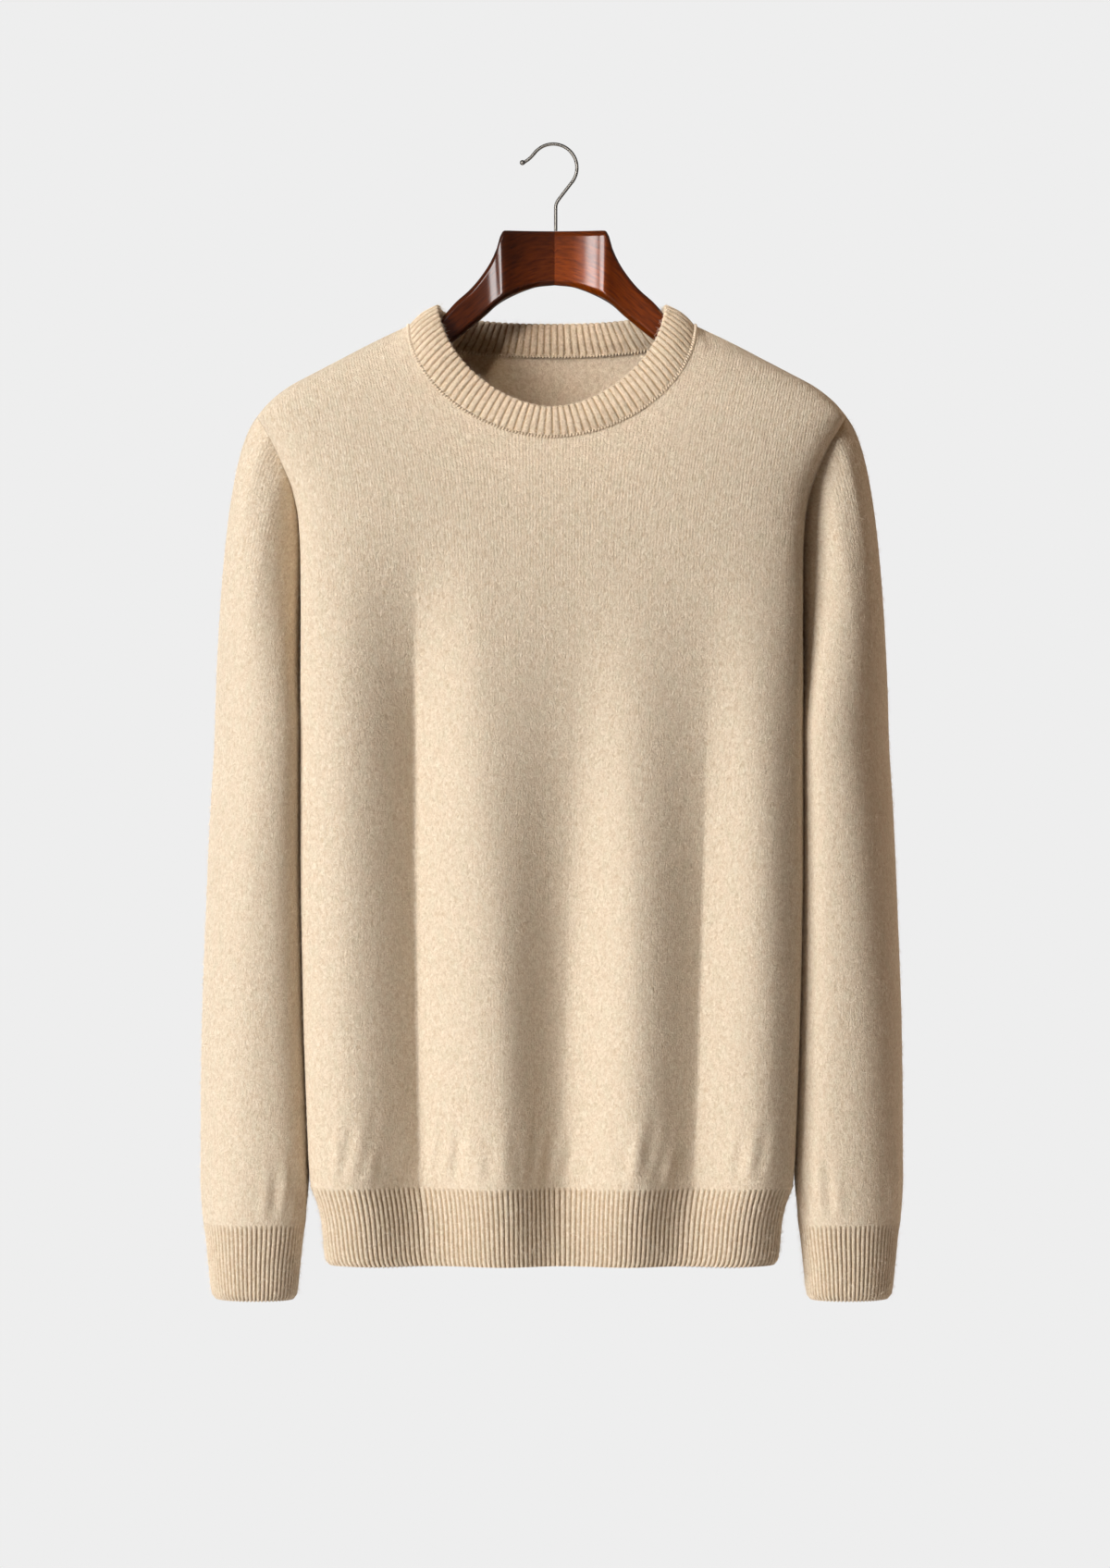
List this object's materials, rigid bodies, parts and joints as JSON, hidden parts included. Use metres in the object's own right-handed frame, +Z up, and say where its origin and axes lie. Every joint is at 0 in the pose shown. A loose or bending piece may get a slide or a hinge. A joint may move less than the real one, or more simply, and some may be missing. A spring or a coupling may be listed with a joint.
{
  "type": "crewneck sweater on a wooden hanger",
  "caption": "Long-sleeved crewneck sweater in soft beige marl wool with ribbed neck, hem and cuffs, hanging on a varnished wooden hanger with a wire hook.",
  "frame": {"origin": "inside crown of the hook, where the hook bears on the rail it hangs from", "axes": "+Z up, -Y the way the front of the sweater faces, +X towards the wearer's left side"},
  "size_m": [0.5066, 0.1149, 0.8324],
  "materials": {
    "jersey": "soft brushed marl wool jersey, beige with pinkish and grey flecks",
    "rib": "narrow ribs in the same marl wool",
    "varnished_wood": "dark red-brown wood under clear gloss varnish",
    "plated_wire": "smooth plated wire"
  },
  "bodies": {
    "root": {"front_panel": "jersey", "back_panel": "jersey", "sleeve_left_upper": "jersey", "sleeve_left_lower": "jersey", "sleeve_right_upper": "jersey", "sleeve_right_lower": "jersey", "neckband": "rib", "hem_rib_front": "rib", "hem_rib_back": "rib", "cuff_left": "rib", "cuff_right": "rib", "hanger_arm_left": "varnished_wood", "hanger_arm_right": "varnished_wood", "hook": "plated_wire"}
  },
  "joints": []
}
